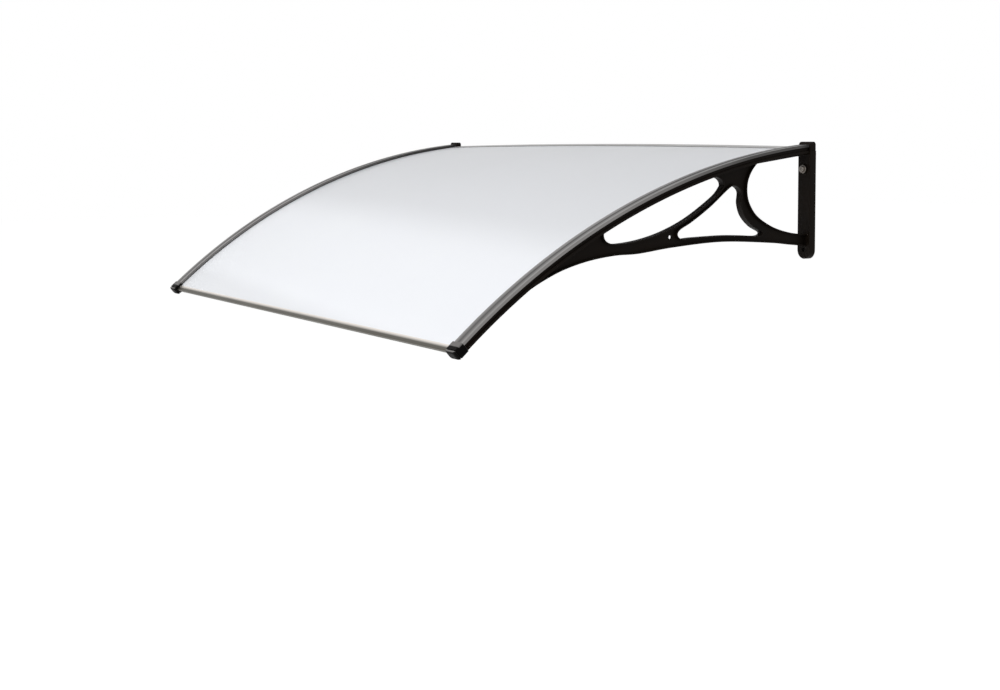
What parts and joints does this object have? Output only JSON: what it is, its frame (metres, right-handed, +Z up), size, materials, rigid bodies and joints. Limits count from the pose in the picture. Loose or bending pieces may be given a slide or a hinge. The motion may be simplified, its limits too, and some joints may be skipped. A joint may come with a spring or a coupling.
{
  "type": "polycarbonate door canopy",
  "caption": "Arched opal sheet in a slim aluminium frame on black moulded wall brackets, which keeps rain off a doorway.",
  "frame": {"origin": "on the wall plane at mid-width, level with the top of the sheet where its arc starts at the brackets, on the flat back of the rear bar", "axes": "+X to the right along the wall as seen from in front of the door, +Y into the wall, +Z up"},
  "size_m": [1.608, 0.9112, 0.4185],
  "materials": {
    "black_plastic": "moulded, satin",
    "aluminium": "mill finish, satin",
    "opal_sheet": "translucent opal, smooth",
    "rubber": "matt",
    "zinc_steel": "zinc plated"
  },
  "bodies": {
    "root": {"bolt_washer_left": "zinc_steel", "bolt_washer_right": "zinc_steel", "bracket_left": "black_plastic", "bracket_right": "black_plastic", "canopy_sheet": "opal_sheet", "cover_strip_left": "aluminium", "cover_strip_right": "aluminium", "edge_gasket_left": "rubber", "edge_gasket_right": "rubber", "front_bar": "aluminium", "front_cap_left": "black_plastic", "front_cap_right": "black_plastic", "rear_bar": "aluminium", "rear_cap_left": "black_plastic", "rear_cap_right": "black_plastic", "rear_seal": "rubber", "strip_screw_1_left": "zinc_steel", "strip_screw_1_right": "zinc_steel", "strip_screw_2_left": "zinc_steel", "strip_screw_2_right": "zinc_steel", "strip_screw_3_left": "zinc_steel", "strip_screw_3_right": "zinc_steel", "wall_bolt_left": "zinc_steel", "wall_bolt_right": "zinc_steel"}
  },
  "joints": []
}
